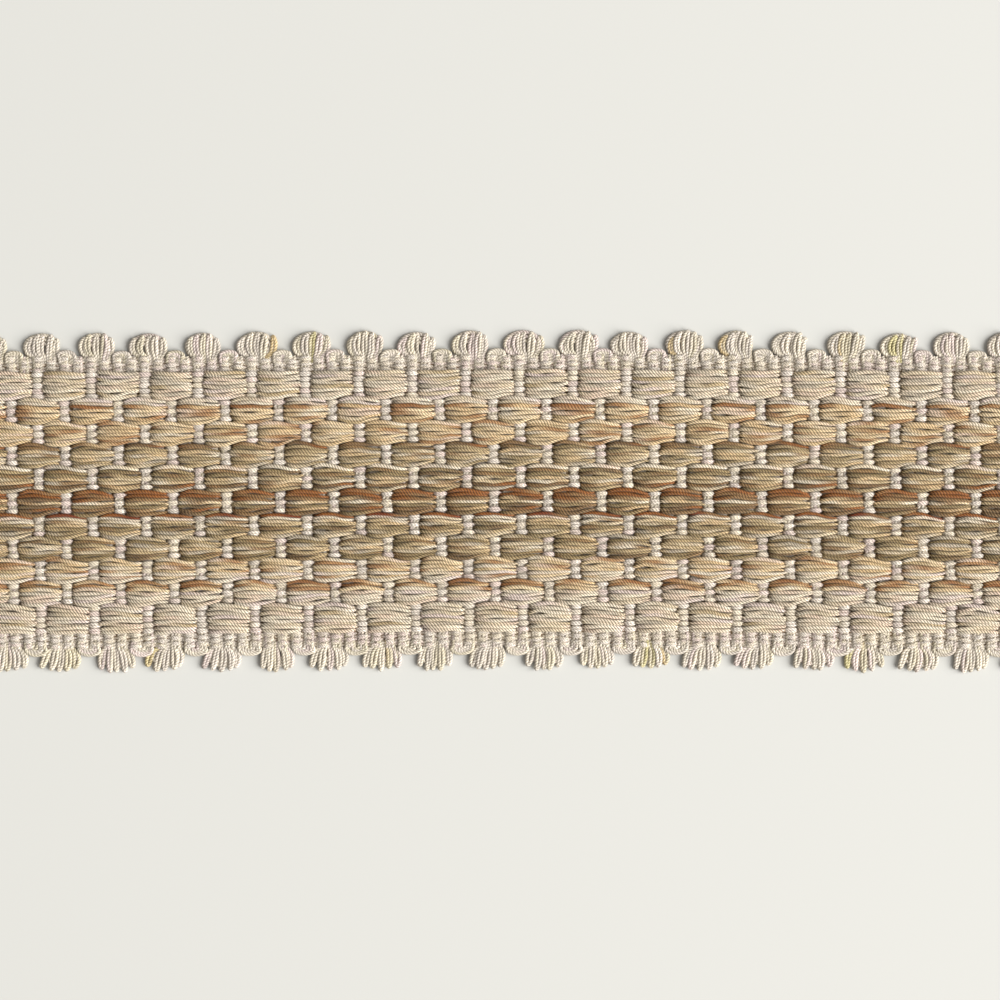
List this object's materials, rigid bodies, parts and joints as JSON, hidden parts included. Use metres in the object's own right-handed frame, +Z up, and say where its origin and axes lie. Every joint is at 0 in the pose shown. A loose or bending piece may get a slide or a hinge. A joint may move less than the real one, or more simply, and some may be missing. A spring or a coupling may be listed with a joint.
{
  "type": "braid trim",
  "caption": "Cut length of wide, flat braid trim: thick warp cords float in brick courses over a pale corded weft that turns back in picot loops along both edges.",
  "frame": {"origin": "on the surface that the braid lies on, under the middle of its whole length and width", "axes": "+X along the braid, +Y across it towards the edge with the taller picots, +Z up out of its face"},
  "size_m": [0.24, 0.0762, 0.003],
  "materials": {
    "warp_cords": "matte plied cord, space-dyed in tan, rust, peach and olive",
    "ecru_weft": "matte plied cord, ecru"
  },
  "bodies": {
    "root": {"woven_band": "warp_cords", "upper_picot_edge": "ecru_weft", "lower_picot_edge": "ecru_weft"}
  },
  "joints": []
}
